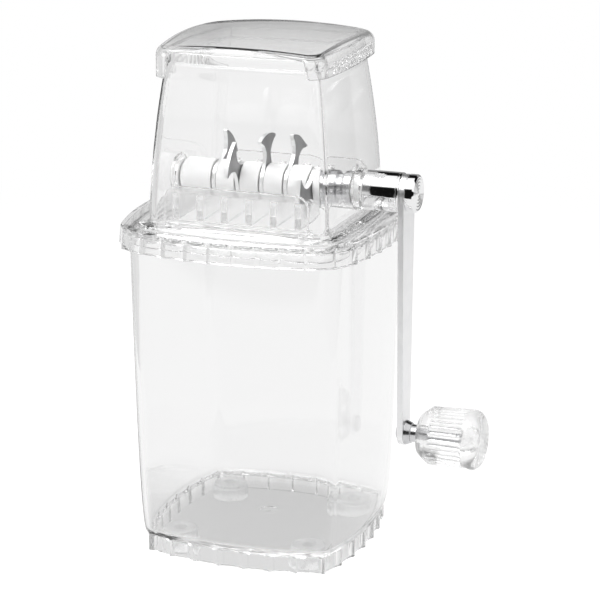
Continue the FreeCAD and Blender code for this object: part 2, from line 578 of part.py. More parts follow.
def lid_solid(inset):
    """Skirted dome: straight sides, a round edge and a gently crowned top."""
    half = lid_outer_half()
    bottom = MOUTH_HEIGHT - LID_SKIRT_LEFT
    block = prism(bowed_square(half, LID_CORNER, LID_BOW, bottom, inset), LID_TOP + 5 - bottom)
    ball = Part.makeSphere(LID_CROWN_RADIUS - inset, V(0, 0, LID_TOP - LID_CROWN_RADIUS))
    dome = block.common(ball)
    edge = max(LID_EDGE - inset, 1.0)
    rim_edges = [e for e in dome.Edges if e.BoundBox.ZMin > bottom + 1
                 and math.hypot(e.CenterOfMass.x, e.CenterOfMass.y) > 0.8 * half]
    return dome.makeFillet(edge, rim_edges)


def make_lid():
    half = lid_outer_half()
    bottom = MOUTH_HEIGHT - LID_SKIRT_LEFT
    rib_length = LID_SKIRT_RIGHT - LID_EDGE + 3
    lid = lid_solid(0.0)
    for side in (-1, 1):
        skirt_low = MOUTH_HEIGHT - (LID_SKIRT_RIGHT if side > 0 else LID_SKIRT_LEFT)
        for i in range(GRIP_RIBS):
            y = GRIP_PITCH * (i - (GRIP_RIBS - 1) / 2)
            x = half + LID_BOW * (1 - (y / half) ** 2)
            lid = lid.fuse(Part.makeCylinder(GRIP_RIB_RADIUS, rib_length, V(side * x, y, skirt_low)))
    lid = lid.cut(lid_solid(LID_WALL))
    # The right skirt is the shorter one.
    trim = Part.makeBox(half + 5, 2 * half + 10, LID_SKIRT_LEFT - LID_SKIRT_RIGHT, V(0, -half - 5, bottom))
    lid = lid.cut(trim)
    # Front and back are open below an arch.
    spring, crown = MOUTH_HEIGHT, MOUTH_HEIGHT + LID_ARCH_RISE
    a, b = V(-LID_ARCH_HALF, -half - 5, spring), V(LID_ARCH_HALF, -half - 5, spring)
    low_b, low_a = V(b.x, b.y, bottom - 1), V(a.x, a.y, bottom - 1)
    arch = Part.Wire([Part.Arc(a, V(0, a.y, crown), b).toShape(), Part.makeLine(b, low_b),
                      Part.makeLine(low_b, low_a), Part.makeLine(low_a, a)])
    lid = lid.cut(Part.Face(arch).extrude(V(0, 2 * half + 10, 0)))
    # Pads under the dome rest on the tower's mouth.
    pad_place = TOWER_SHOULDER_HALF - NECK_STEP - TOWER_WALL / 2
    for side_x in (-1, 1):
        for offset in (-LID_ARCH_HALF / 2, LID_ARCH_HALF / 2):
            x = side_x * (pad_place + TOWER_BOW / 2)
            pad = Part.makeBox(2.0, 4.0, LID_TOP - MOUTH_HEIGHT, V(x - 1, offset - 2, MOUTH_HEIGHT))
            lid = lid.fuse(pad.common(lid_solid(LID_WALL * 0.5)))
    return lid.removeSplitter()


# ---------------------------------------------------------------- export
def build():
    nodes = {"container": make_container()}
    foot_names = ("foot_front_left", "foot_front_right", "foot_back_left", "foot_back_right")
    for name, (x, y) in zip(foot_names, foot_places()):
        nodes[name] = make_foot(x, y)
    nodes["hopper_housing"] = make_hopper_housing()
    nodes["front_comb"] = make_comb(-1)
    nodes["rear_comb"] = make_comb(1)
    nodes["left_bearing_bush"] = make_left_bush()
    nodes["right_bearing_bush"] = make_right_bush()
    nodes["lid"] = make_lid()
    nodes["rotor_shaft"] = make_shaft()
    nodes["drum_left_end"] = make_drum_left_end()
    for gap in range(BLADE_COUNT - 1):
        nodes["drum_spacer_%d" % (gap + 1)] = make_spacer(gap)
    nodes["drum_right_end"] = make_drum_right_end()
    for number in range(BLADE_COUNT):
        nodes["claw_blade_%d" % (number + 1)] = make_blade(number)
    nodes["thrust_hub"] = make_thrust_hub()
    nodes["crank_sleeve"] = make_sleeve()
    nodes["crank_arm"] = make_arm()
    nodes["cap_nut"] = make_cap_nut()
    nodes["knob_spindle"] = make_spindle()
    nodes["knob_washer"] = make_washer()
    nodes["crank_knob"] = make_knob()
    return nodes


os.makedirs("parts", exist_ok=True)
for node, shape in build().items():
    shape.exportStep("parts/%s.step" % node)
    box = shape.BoundBox
    print("%-20s solids %d valid %s volume %.0f  z %.2f..%.2f" % (
        node, len(shape.Solids), shape.isValid(), shape.Volume, box.ZMin, box.ZMax))
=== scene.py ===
import json
import math

import bpy
from mathutils import Matrix, Vector


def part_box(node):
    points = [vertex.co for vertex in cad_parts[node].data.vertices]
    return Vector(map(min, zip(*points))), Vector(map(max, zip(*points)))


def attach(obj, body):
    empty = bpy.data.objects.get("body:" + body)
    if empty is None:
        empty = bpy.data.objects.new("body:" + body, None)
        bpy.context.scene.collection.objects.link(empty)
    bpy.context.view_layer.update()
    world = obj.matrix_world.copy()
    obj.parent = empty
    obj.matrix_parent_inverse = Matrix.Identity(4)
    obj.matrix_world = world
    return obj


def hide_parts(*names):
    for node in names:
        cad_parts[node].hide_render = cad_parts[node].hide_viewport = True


# Clear hand-cranked ice crusher. Metres, in the shared frame: +Z up, +X along the rotor
# towards the crank, -Y the front. Sizes below are written in millimetres times MM.

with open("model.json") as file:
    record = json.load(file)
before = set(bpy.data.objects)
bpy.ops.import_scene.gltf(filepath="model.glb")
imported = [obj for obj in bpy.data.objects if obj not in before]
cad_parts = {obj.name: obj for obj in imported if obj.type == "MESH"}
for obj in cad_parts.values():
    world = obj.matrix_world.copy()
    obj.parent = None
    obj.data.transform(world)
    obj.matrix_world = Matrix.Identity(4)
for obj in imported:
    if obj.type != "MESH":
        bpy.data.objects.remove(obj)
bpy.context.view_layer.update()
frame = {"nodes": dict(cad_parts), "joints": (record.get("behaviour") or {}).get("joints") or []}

MM = 0.001
QUARTER = math.pi / 2
JOINTS = {joint["name"]: joint for joint in frame["joints"]}
ROTOR_Z = JOINTS["crank_spin"]["pos_m"][2]
KNOB_Z = JOINTS["knob_spin"]["pos_m"][2]
HAIR = 0.03 * MM            # air left between clear pieces that touch, so that each keeps its own face
ROUND = 0.35 * MM           # ordinary edge round of a moulding
EDGE = 0.4 * MM             # height and width of a moulding's eased rim
CENTRE = 0.05 * MM          # innermost radius of a turned piece that is solid to its middle
SHAFT_BORE = 4.55 * MM      # in what turns with the rotor's round shaft, or carries it
SPINDLE_BORE = 2.85 * MM    # in what sits on the knob's spindle


# ---------------------------------------------------------------- materials
class Value:
    """A shader number as a Python value: arithmetic on it adds Math nodes."""

    def __init__(self, bench, socket):
        self.bench = bench
        self.socket = socket

    def math(self, operation, first, second):
        return self.bench.node("ShaderNodeMath", {"operation": operation}, {0: first, 1: second})

    def __add__(self, other):
        return self.math("ADD", self, other)

    def __radd__(self, other):
        return self.math("ADD", other, self)

    def __rsub__(self, other):
        return self.math("SUBTRACT", other, self)

    def __mul__(self, other):
        return self.math("MULTIPLY", self, other)

    def __rmul__(self, other):
        return self.math("MULTIPLY", other, self)

    def __pow__(self, other):
        return self.math("POWER", self, other)


class Bench:
    """Where one material or world is put together."""

    def __init__(self, owner):
        owner.use_nodes = True
        self.owner = owner
        self.tree = owner.node_tree
        self.tree.nodes.clear()

    def node(self, kind, settings=None, inputs=None, output=0):
        """Adds a node, sets it up, feeds its sockets and returns one of its outputs."""
        made = self.tree.nodes.new(kind)
        for name, setting in (settings or {}).items():
            if name == "stops":
                self.set_stops(made.color_ramp, setting)
            else:
                setattr(made, name, setting)
        for name, feed in (inputs or {}).items():
            socket = made.inputs[name]
            if isinstance(feed, Value):
                self.tree.links.new(feed.socket, socket)
            else:
                socket.default_value = feed
        return Value(self, made.outputs[output]) if len(made.outputs) else made

    def set_stops(self, ramp, stops):
        while len(ramp.elements) < len(stops):
            ramp.elements.new(1.0)
        for element, (position, colour) in zip(ramp.elements, stops):
            element.position = position
            element.color = (*colour, 1.0)

    def place(self, stretch=(1, 1, 1)):
        """Position on the object in metres, stretched."""
        where = self.node("ShaderNodeTexCoord", output="Object")
        return self.node("ShaderNodeMapping", {}, {"Vector": where, "Scale": stretch})

    def noise(self, scale, detail=3.0, stretch=(1, 1, 1), roughness=0.5):
        """Soft noise from 0 to 1; scale is in spots per metre."""
        inputs = {"Vector": self.place(stretch), "Scale": scale, "Detail": detail, "Roughness": roughness}
        return self.node("ShaderNodeTexNoise", {}, inputs)

    def blend(self, share, low, high):
        """Colour between low and high."""
        inputs = {"Factor": share, 6: (*low, 1.0), 7: (*high, 1.0)}
        return self.node("ShaderNodeMix", {"data_type": "RGBA"}, inputs, output=2)

    def bump(self, height, distance, strength=1.0):
        return self.node("ShaderNodeBump", {}, {"Height": height, "Distance": distance, "Strength": strength})

    def skin(self, inputs):
        return self.node("ShaderNodeBsdfPrincipled", {}, inputs)

    def finish(self, shader):
        self.node("ShaderNodeOutputMaterial", {}, {"Surface": shader})
        return self.owner


def material(name):
    return Bench(bpy.data.materials.new(name))


def clear_plastic(name, ripple, haze, tint=(0.988, 0.988, 0.988)):
    """Colourless moulded plastic: faint flow ripple, a breath of haze, light shadow."""
    bench = material(name)
    flow = bench.noise(ripple, 2.0, (1.0, 1.0, 0.35))
    dust = bench.noise(900, 4.0)
    skin = bench.skin({
        "Base Color": bench.blend(flow, tint, tuple(min(1.0, c + 0.01) for c in tint)),
        "Roughness": haze * (0.8 + 0.3 * dust),
        "IOR": 1.49,
        "Transmission Weight": 1.0,
        "Normal": bench.bump(flow, 0.03 * MM),
    })
    in_shadow = bench.node("ShaderNodeLightPath", output="Is Shadow Ray")
    open_air = bench.node("ShaderNodeBsdfTransparent", {}, {"Color": (0.976, 0.976, 0.976, 1.0)})
    return bench.finish(bench.node("ShaderNodeMixShader", {}, {0: in_shadow, 1: skin, 2: open_air}))


def silicone():
    """Translucent feet, satin and a little cloudy."""
    bench = material("clear_silicone")
    cloud = bench.noise(260, 3.0)
    grain = bench.noise(2600, 2.0)
    return bench.finish(bench.skin({
        "Base Color": bench.blend(cloud, (0.88, 0.885, 0.885), (0.95, 0.95, 0.95)),
        "Roughness": 0.22 + 0.14 * grain,
        "IOR": 1.41,
        "Transmission Weight": 0.85,
        "Normal": bench.bump(grain, 0.02 * MM, 0.5),
    }))


def white_plastic():
    """Satin white moulding with a very fine spark-eroded grain and faint scuffs."""
    bench = material("white_plastic")
    grain = bench.noise(3200, 3.0)
    cloud = bench.noise(120, 3.0)
    scuff = bench.noise(700, 5.0, (0.25, 1.0, 1.0))
    return bench.finish(bench.skin({
        "Base Color": bench.blend(cloud, (0.80, 0.80, 0.80), (0.86, 0.86, 0.86)),
        "Roughness": 0.30 + 0.16 * scuff,
        "Coat Weight": 0.15 * cloud,
        "Normal": bench.bump(grain, 0.015 * MM, 0.5),
    }))


def steel(name, dark, light, rough_low, rough_span, stretch, line_scale, depth):
    """Metal with lines drawn along one way; stretch is small along the lines."""
    bench = material(name)
    lines = bench.noise(line_scale, 6.0, stretch, 0.65)
    cloud = bench.noise(160, 3.0)
    return bench.finish(bench.skin({
        "Base Color": bench.blend(cloud * lines * 2.0, dark, light),
        "Metallic": 1.0,
        "Roughness": rough_low + rough_span * lines,
        "Normal": bench.bump(lines, depth, 0.6),
    }))


def stamped_steel():
    """Tumbled dark faces; the sheared edges are bright steel, with a painted highlight on them as well:
    near-white colour, a quarter of it not metal.
    """
    bench = material("blade_steel")
    lines = bench.noise(1500, 5.0, (1.0, 0.3, 0.3), 0.6)
    cloud = bench.noise(170, 3.0)
    normal = bench.node("ShaderNodeNewGeometry", output="Normal")
    facing = bench.node("ShaderNodeSeparateXYZ", {}, {0: normal}, 0)
    # painted highlight on the rims: where a face turns away from the rotor's axis, its colour goes to near
    # white
    edge = 1.0 - facing.math("ABSOLUTE", facing, 0.0) ** 2.0
    tone = 0.30 * cloud + 0.75 * edge
    return bench.finish(bench.skin({
        "Base Color": bench.blend(tone, (0.17, 0.17, 0.175), (0.92, 0.92, 0.92)),
        "Metallic": 1.0 - 0.25 * edge,
        "Roughness": 0.24 + 0.25 * lines,
        "Normal": bench.bump(lines, 0.015 * MM, 0.6),
    }))


def chrome():
    """Bright plate: nearly a mirror, with a trace of orange peel and wiping marks."""
    bench = material("chrome")
    peel = bench.noise(420, 2.0)
    wipe = bench.noise(900, 4.0, (1.0, 0.2, 0.2))
    return bench.finish(bench.skin({
        "Base Color": bench.blend(wipe, (0.80, 0.80, 0.81), (0.90, 0.90, 0.90)),
        "Metallic": 1.0,
        "Roughness": 0.03 + 0.05 * wipe,
        "Normal": bench.bump(peel, 0.004 * MM, 0.5),
    }))


def make_finishes():
    return {
        "clear_plastic": clear_plastic("clear_plastic", 28, 0.03),
        "clear_comb": clear_plastic("clear_comb", 60, 0.15, (0.985, 0.985, 0.985)),
        "clear_knob": clear_plastic("clear_knob", 90, 0.12),
        "clear_silicone": silicone(),
        "white_plastic": white_plastic(),
        "blade_steel": stamped_steel(),
        "shaft_steel": steel("shaft_steel", (0.45, 0.45, 0.46), (0.72, 0.72, 0.73), 0.10, 0.22,
                             (1.0, 0.08, 0.08), 2600, 0.01 * MM),
        "arm_metal": steel("arm_metal", (0.84, 0.84, 0.85), (0.95, 0.95, 0.95), 0.26, 0.2,
                           (1.0, 1.0, 0.04), 2200, 0.008 * MM),
        "chrome": chrome(),
    }


FINISH = make_finishes()


# ---------------------------------------------------------------- mesh making
def mesh_piece(name, points, faces):
    """A smooth piece in the scene, from points and faces."""
    mesh = bpy.data.meshes.new(name)
    mesh.from_pydata([tuple(p) for p in points], [], faces)
    mesh.validate()
    mesh.update()
    piece = bpy.data.objects.new(name, mesh)
    bpy.context.scene.collection.objects.link(piece)
    smooth(piece)
    return piece


def smooth(piece):
    """Smooth faces; edges sharper than 40 degrees stay crisp."""
    mesh = piece.data
    mesh.polygons.foreach_set("use_smooth", [True] * len(mesh.polygons))
    mesh.set_sharp_from_angle(angle=math.radians(40))
    mesh.update()


def skin_rings(name, rings, loop=False):
    """A skin over rings of equal length. Ends are closed to their middle; a loop joins last to first."""
    count = len(rings[0])
    points = [p for ring in rings for p in ring]
    faces = []
    pairs = list(zip(range(len(rings)), range(1, len(rings))))
    if loop:
        pairs.append((len(rings) - 1, 0))
    for low, high in pairs:
        for i in range(count):
            j = (i + 1) % count
            faces.append((low * count + i, low * count + j, high * count + j, high * count + i))
    if not loop:
        for ring_number, backwards in ((0, True), (len(rings) - 1, False)):
            middle = sum((Vector(p) for p in rings[ring_number]), Vector()) / count
            points.append(middle)
            hub = len(points) - 1
            for i in range(count):
                a, b = ring_number * count + i, ring_number * count + (i + 1) % count
                faces.append((b, a, hub) if backwards else (a, b, hub))
    return mesh_piece(name, points, faces)


def rounded(corners, radius, steps=4):
    """A closed outline with each corner rounded, never past half of a side."""
    outline = []
    for i, corner in enumerate(corners):
        corner = Vector(corner)
        before = Vector(corners[i - 1]) - corner
        after = Vector(corners[(i + 1) % len(corners)]) - corner
        cut = min(radius, before.length * 0.45, after.length * 0.45)
        start, end = corner + before.normalized() * cut, corner + after.normalized() * cut
        for k in range(steps + 1):
            t = k / steps
            outline.append(start * (1 - t) ** 2 + corner * 2 * t * (1 - t) + end * t * t)
    return outline


def lathe(name, outline, centre, upright=False, segments=96, radius=ROUND, swell=None):
    """Turns a closed outline of (along, radius) about X, or about Z, through centre.

    swell(along, angle, radius) may change the radius, for flutes."""
    ring = rounded([(a, r) for a, r in outline], radius)
    points = []
    for k in range(segments):
        angle = 2 * math.pi * k / segments
        for along, r in ring:
            if swell:
                r = swell(along, angle, r)
            side, rise = r * math.sin(angle), r * math.cos(angle)
            local = (side, rise, along) if upright else (along, side, rise)
            points.append(Vector(centre) + Vector(local))
    count = len(ring)
    faces = []
    for k in range(segments):
        following = (k + 1) % segments
        for i in range(count):
            j = (i + 1) % count
            faces.append((k * count + i, k * count + j, following * count + j, following * count + i))
    piece = mesh_piece(name, points, faces)
    face_outwards(piece)
    return piece


def face_outwards(piece):
    """Turns a closed piece's faces so that they look out."""
    mesh = piece.data
    mesh.calc_loop_triangles()
    corners = [v.co for v in mesh.vertices]
    volume = sum(corners[a].dot(corners[b].cross(corners[c])) for a, b, c in
                 (tuple(t.vertices) for t in mesh.loop_triangles))
    if volume < 0:
        mesh.flip_normals()
    smooth(piece)


def combine(piece, tool, operation):
    """Joins a tool piece to this one or cuts it away, then discards the tool."""
    modifier = piece.modifiers.new("shape", "BOOLEAN")
    modifier.operation = operation
    modifier.object = tool
    modifier.solver = "EXACT"
    depsgraph = bpy.context.evaluated_depsgraph_get()
    shaped = bpy.data.meshes.new_from_object(piece.evaluated_get(depsgraph))
    piece.modifiers.clear()
    piece.data = shaped
    bpy.data.objects.remove(tool)


def dress(piece, node, body, finish):
    """The piece stands for a CAD node, moves with a body and gets its finish."""
    piece.data.materials.clear()
    piece.data.materials.append(FINISH[finish])
    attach(piece, body)
    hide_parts(node)


def ease_edges(piece, width, sharper_than):
    """Breaks every edge that is sharper than that many degrees."""
    bevel = piece.modifiers.new("eased edges", "BEVEL")
    bevel.width = width
    bevel.segments = 2
    bevel.limit_method = "ANGLE"
    bevel.angle_limit = math.radians(sharper_than)


def keep_node(node, finish, edge):
    """A CAD node that shows as it is, with eased edges and a better finish."""
    shown = frame["nodes"][node]
    if not shown.material_slots:
        shown.data.materials.append(FINISH[finish])
    for place in shown.material_slots:
        place.link = "OBJECT"
        place.material = FINISH[finish]
    weld = shown.modifiers.new("weld", "WELD")
    weld.merge_threshold = 0.002 * MM
    flats = shown.modifiers.new("whole flat faces", "DECIMATE")     # slivers would fold over in the bevel
    flats.decimate_type = "DISSOLVE"
    flats.angle_limit = math.radians(0.5)
    ease_edges(shown, edge, 35)
    even = shown.modifiers.new("flat faces stay flat", "WEIGHTED_NORMAL")
    even.mode = "FACE_AREA"
    even.weight = 100


def span(node):
    """Where a node starts and ends along X."""
    low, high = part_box(node)
    return low.x, high.x


# ---------------------------------------------------------------- outlines in plan
class BowedSquare:
    """Plan outline: a square with bulging sides and corners tangent to them, moved in by inset.

    half is the half width over the ends of the sides, corner how far the corner eats into a side,
    and bow how far a side bulges past half. A side's arc meets the corner's arc a along the side
    and b out from the middle; tip is half of the square's width on its diagonal, measured on x."""

    def __init__(self, half, corner, bow, inset=0.0):
        reach = half - corner
        lean = 2 * math.atan(bow / reach)
        self.a = reach - inset * math.sin(lean)
        self.b = half - inset * math.cos(lean)
        sag = half + bow - inset - self.b
        self.side_radius = (self.a ** 2 + sag ** 2) / (2 * sag)
        self.side_centre = half + bow - inset - self.side_radius
        chord = (self.b - self.a) / math.sqrt(2)
        half_turn = math.pi / 4 - lean
        self.corner_radius = chord / math.sin(half_turn)
        self.tip = (self.a + self.b) / 2 + chord * math.tan(half_turn / 2) / math.sqrt(2)
        self.corner_centre = self.tip - self.corner_radius / math.sqrt(2)

    def reach_at(self, x):
        """How far out the side lies, x along it from its middle."""
        x = abs(x)
        if x <= self.a:
            return self.side_centre + math.sqrt(self.side_radius ** 2 - x * x)
        offset = min(x - self.corner_centre, self.corner_radius)
        return self.corner_centre + math.sqrt(self.corner_radius ** 2 - offset ** 2)

    def ring(self, stations, z, hollow=0.0, squeeze=(1.0, 1.0)):
        """Points round the outline; hollow is how deep its flutes are."""
        points = []
        for cos, sin in ((1, 0), (0, 1), (-1, 0), (0, -1)):
            for station, share in stations:
                x = self.tip * station
                y = -(self.reach_at(x) - hollow * share)
                points.append(Vector(((x * cos - y * sin) * squeeze[0], (x * sin + y * cos) * squeeze[1], z)))
        return points


def flute_stations(flutes, steps):
    """(place along a side from -1 to 1, how hollow the flute is there)."""
    stations = []
    for flute in range(flutes):
        for k in range(steps):
            s = k / steps
            if flute == 0:
                s = s * s
            if flute == flutes - 1:
                s = 1 - (1 - s) ** 2
            stations.append((2 * (flute + s) / flutes - 1, (4 * s * (1 - s)) ** 0.6))
    return stations


def plain_stations(count):
    """Evenly spread places along a side."""
    return [(2 * k / count - 1, 0.0) for k in range(count)]


def round_ring(ring, radius, z):
    """The ring drawn in to a circle."""
    return [Vector((p.x, p.y, 0)).normalized() * radius + Vector((0, 0, z)) for p in ring]


def between(ring_a, ring_b, share):
    return [a.lerp(b, share) for a, b in zip(ring_a, ring_b)]


def mixed(low, high, share):
    return low + (high - low) * share


# ---------------------------------------------------------------- container
SKIRT_FLUTES = flute_stations(7, 14)
SKIRT_TOP = 9.8 * MM
SKIRT_WALL = 3.4 * MM
SKIRT_FLUTE_DEPTH = 2.0 * MM
FLOOR_TOP = 11.05 * MM
FLOOR_UNDER = 8.55 * MM
FLOOR_FILLET = 2.2 * MM
CONTAINER_WALL = 2.3 * MM
RIM_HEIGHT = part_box("container")[1].z
SKIRT_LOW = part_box("container")[0].z
BASE_PLAN = (46.3 * MM, 3.6 * MM, 6.2 * MM)         # half, corner and bow at the skirt's top
RIM_PLAN = (52.9 * MM, 12.0 * MM, 3.0 * MM)         # and at the rim
FLARE = 0.36                                        # power law from one to the other
WALL_RINGS = 22
GATE_MARK = ((5.4, 0.0), (5.0, 0.03), (4.6, 0.12), (4.2, 0.15), (2.0, 0.16), (1.2, 0.12), (0.8, 0.08))


def skirt_outline(inset):
    return BowedSquare(*BASE_PLAN, inset)


def container_outline(z, inset):
    share = max(0.0, (z - SKIRT_TOP) / (RIM_HEIGHT - SKIRT_TOP)) ** FLARE
    return BowedSquare(*(mixed(base, rim, share) for base, rim in zip(BASE_PLAN, RIM_PLAN)), inset)


def make_container():
    """One closed skin: under the floor, out round the fluted skirt, up, over the rim and down inside."""
    def ring(z, inset=0.0):
        return container_outline(z, inset).ring(SKIRT_FLUTES, z)

    def under(z, squeeze=1.0):
        return skirt_outline(SKIRT_WALL).ring(SKIRT_FLUTES, z, squeeze=(squeeze, squeeze))

    def skirt(z, share, inset=0.0):
        return skirt_outline(inset).ring(SKIRT_FLUTES, z, SKIRT_FLUTE_DEPTH * share)

    rings = [round_ring(ring(SKIRT_TOP), 8 * MM, FLOOR_UNDER),
             under(FLOOR_UNDER, 0.9), under(FLOOR_UNDER, 0.985), under(FLOOR_UNDER - 0.7 * MM),
             under(SKIRT_LOW + EDGE), under(SKIRT_LOW, 1.007),
             skirt(SKIRT_LOW, 0.9, EDGE), skirt(SKIRT_LOW + EDGE, 1.0), skirt(SKIRT_TOP - 1.0 * MM, 1.0),
             skirt(SKIRT_TOP - 0.5 * MM, 0.7), skirt(SKIRT_TOP - 0.3 * MM, 0.2)]
    rise = RIM_HEIGHT - EDGE - SKIRT_TOP
    heights = [SKIRT_TOP + rise * (k / WALL_RINGS) ** 2.2 for k in range(WALL_RINGS + 1)]
    rings += [ring(z) for z in heights]
    rings += [ring(RIM_HEIGHT, EDGE), ring(RIM_HEIGHT, CONTAINER_WALL - EDGE)]
    fillet_top = FLOOR_TOP + FLOOR_FILLET
    rings += [ring(z, CONTAINER_WALL) for z in reversed(heights) if z > fillet_top]
    for k in range(6):
        angle = QUARTER * k / 5
        inset = CONTAINER_WALL + FLOOR_FILLET * (1 - math.cos(angle))
        z = FLOOR_TOP + FLOOR_FILLET * (1 - math.sin(angle))
        rings.append(container_outline(fillet_top, inset).ring(SKIRT_FLUTES, z))
    floor_edge = rings[-1]
    middle = round_ring(floor_edge, 12 * MM, FLOOR_TOP)
    rings += [between(floor_edge, middle, 0.35), between(floor_edge, middle, 0.7), middle]
    rings += [round_ring(floor_edge, radius * MM, FLOOR_TOP - drop * MM) for radius, drop in GATE_MARK]
    dress(skin_rings("Container", rings), "container", "container", "clear_plastic")


def make_feet():
    """Turned buttons with a waist at the top and a deep socket for the floor's stud."""
    socket_radius, socket_depth = 3.2 * MM, 4.4 * MM
    for corner in ("front_left", "front_right", "back_left", "back_right"):
        node = "foot_" + corner
        low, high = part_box(node)
        x, y = (low.x + high.x) / 2, (low.y + high.y) / 2
        radius = (high.x - low.x) / 2
        waist = radius - 0.5 * MM
        top = high.z - HAIR
        outline = [(0.0, CENTRE), (0.0, radius - 0.9 * MM), (0.9 * MM, radius), (top - 2.0 * MM, radius),
                   (top - 1.4 * MM, waist), (top, waist), (top, socket_radius),
                   (top - socket_depth, socket_radius), (top - socket_depth, CENTRE)]
        foot = lathe("Foot_" + corner, outline, (x, y, 0), upright=True, radius=0.5 * MM)
        dress(foot, node, "container", "clear_silicone")


# ---------------------------------------------------------------- hopper housing
COLLAR_FLUTES = flute_stations(9, 12)
COLLAR_PLAN = (58.9 * MM, 17.2 * MM, 5.1 * MM)      # half, corner and bow at the collar's lower edge
COLLAR_FLUTE_DEPTH = 1.3 * MM
COLLAR_WALL = 3.75 * MM                             # from the lower edge's outline to the inside
COLLAR_LOW, MOUTH = (corner.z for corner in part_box("hopper_housing"))
PLATE_TOP = RIM_HEIGHT + 3.1 * MM
PLATE_UNDER = RIM_HEIGHT + HAIR
SPIGOT_LOW = RIM_HEIGHT - 5.5 * MM
TOWER_FOOT_HALF = 44.4 * MM
TOWER_LEAN = 6.6 * MM                               # how far the walls lean in up to the shoulder
TOWER_CORNER = 7.0 * MM
TOWER_BOW = 2.2 * MM
TOWER_WALL = 2.5 * MM
TOWER_RINGS = 20
SHOULDER = MOUTH - 5.0 * MM
NECK_STEP = 1.3 * MM
THROAT_HALF_X = 40.0 * MM
THROAT_HALF_Y = 35.0 * MM
BOSS_RADIUS = 10.0 * MM
BOSS_INSET = 0.6 * MM                               # boss's flat face inside the wall
BUSH_RADIUS = 6.3 * MM
BUSH_HOLE = 6.35 * MM
BUSH_PROUD = 0.6 * MM                               # right bush beyond its boss
BUSH_FLANGE = 1.2 * MM
BUSH_CAP = 1.4 * MM
JOURNAL_BORE = 3.05 * MM


def tower_half(z):
    share = max(0.0, (z - PLATE_TOP) / (SHOULDER - PLATE_TOP))
    return TOWER_FOOT_HALF - TOWER_LEAN * share ** 1.7


def tower_outline(z, inset):
    return BowedSquare(tower_half(z), TOWER_CORNER, TOWER_BOW, inset)


def housing_rings():
    """Collar, plate, tower, mouth, down inside to the throat, spigot and back to the collar."""
    def collar(inset, z, share=0.0):
        return BowedSquare(*COLLAR_PLAN, inset).ring(COLLAR_FLUTES, z, COLLAR_FLUTE_DEPTH * share)

    def foot(out, rise):
        return tower_outline(PLATE_TOP, -out).ring(COLLAR_FLUTES, PLATE_TOP + rise)

    def tower(z, inset=0.0):
        return tower_outline(z, inset).ring(COLLAR_FLUTES, z)

    def neck(z, inset):
        return tower_outline(SHOULDER, NECK_STEP + inset).ring(COLLAR_FLUTES, z)

    def throat(z, squeeze=1.0):
        shape = (squeeze, squeeze * THROAT_HALF_Y / THROAT_HALF_X)
        return BowedSquare(THROAT_HALF_X, 5.0 * MM, 0.05 * MM).ring(COLLAR_FLUTES, z, squeeze=shape)

    def spigot(gap, z):
        return container_outline(RIM_HEIGHT, CONTAINER_WALL + gap).ring(COLLAR_FLUTES, z)

    rings = [collar(EDGE + 0.1 * MM, COLLAR_LOW, 1.0), collar(0.1 * MM, COLLAR_LOW + EDGE, 1.0),
             collar(0.9 * MM, PLATE_TOP - 1.5 * MM, 1.0), collar(1.1 * MM, PLATE_TOP - 0.9 * MM, 0.6),
             collar(1.6 * MM, PLATE_TOP - 0.3 * MM), collar(2.3 * MM, PLATE_TOP)]
    rings += [foot(6.0 * MM, 0.0), foot(5.4 * MM, 0.9 * MM), foot(4.8 * MM, 1.25 * MM),
              foot(1.2 * MM, 1.4 * MM), foot(0.3 * MM, 1.8 * MM)]
    rise = SHOULDER - PLATE_TOP - 3.2 * MM
    heights = [PLATE_TOP + 2.6 * MM + rise * k / TOWER_RINGS for k in range(TOWER_RINGS + 1)]
    rings += [tower(z) for z in heights]
    rings += [tower_outline(SHOULDER, 0.25 * MM).ring(COLLAR_FLUTES, SHOULDER - 0.2 * MM),
              neck(SHOULDER + 0.1 * MM, -0.5 * MM), neck(SHOULDER + 0.5 * MM, 0.0), neck(MOUTH - EDGE, 0.0),
              neck(MOUTH, EDGE), neck(MOUTH, TOWER_WALL - EDGE), neck(MOUTH - EDGE, TOWER_WALL),
              neck(SHOULDER - 0.4 * MM, TOWER_WALL)]
    rings += [tower(z, TOWER_WALL) for z in reversed(heights) if z < SHOULDER - 2.0 * MM]
    ledge = PLATE_TOP - HAIR
    rings += [foot(-TOWER_WALL - 0.2 * MM, 0.5 * MM - HAIR), foot(-TOWER_WALL - 0.7 * MM, -HAIR),
              throat(ledge, 1.01), throat(ledge - EDGE), throat(PLATE_UNDER + EDGE), throat(PLATE_UNDER, 1.01)]
    rings += [spigot(2.7 * MM, PLATE_UNDER), spigot(2.5 * MM, PLATE_UNDER - EDGE),
              spigot(2.5 * MM, SPIGOT_LOW + EDGE), spigot(2.1 * MM, SPIGOT_LOW),
              spigot(0.9 * MM, SPIGOT_LOW), spigot(0.5 * MM, SPIGOT_LOW + EDGE),
              spigot(0.5 * MM, PLATE_UNDER - EDGE), spigot(0.3 * MM, PLATE_UNDER)]
    rings += [collar(COLLAR_WALL + EDGE, PLATE_UNDER), collar(COLLAR_WALL, PLATE_UNDER - EDGE),
              collar(COLLAR_WALL, COLLAR_LOW + EDGE), collar(COLLAR_WALL - EDGE, COLLAR_LOW)]
    return rings


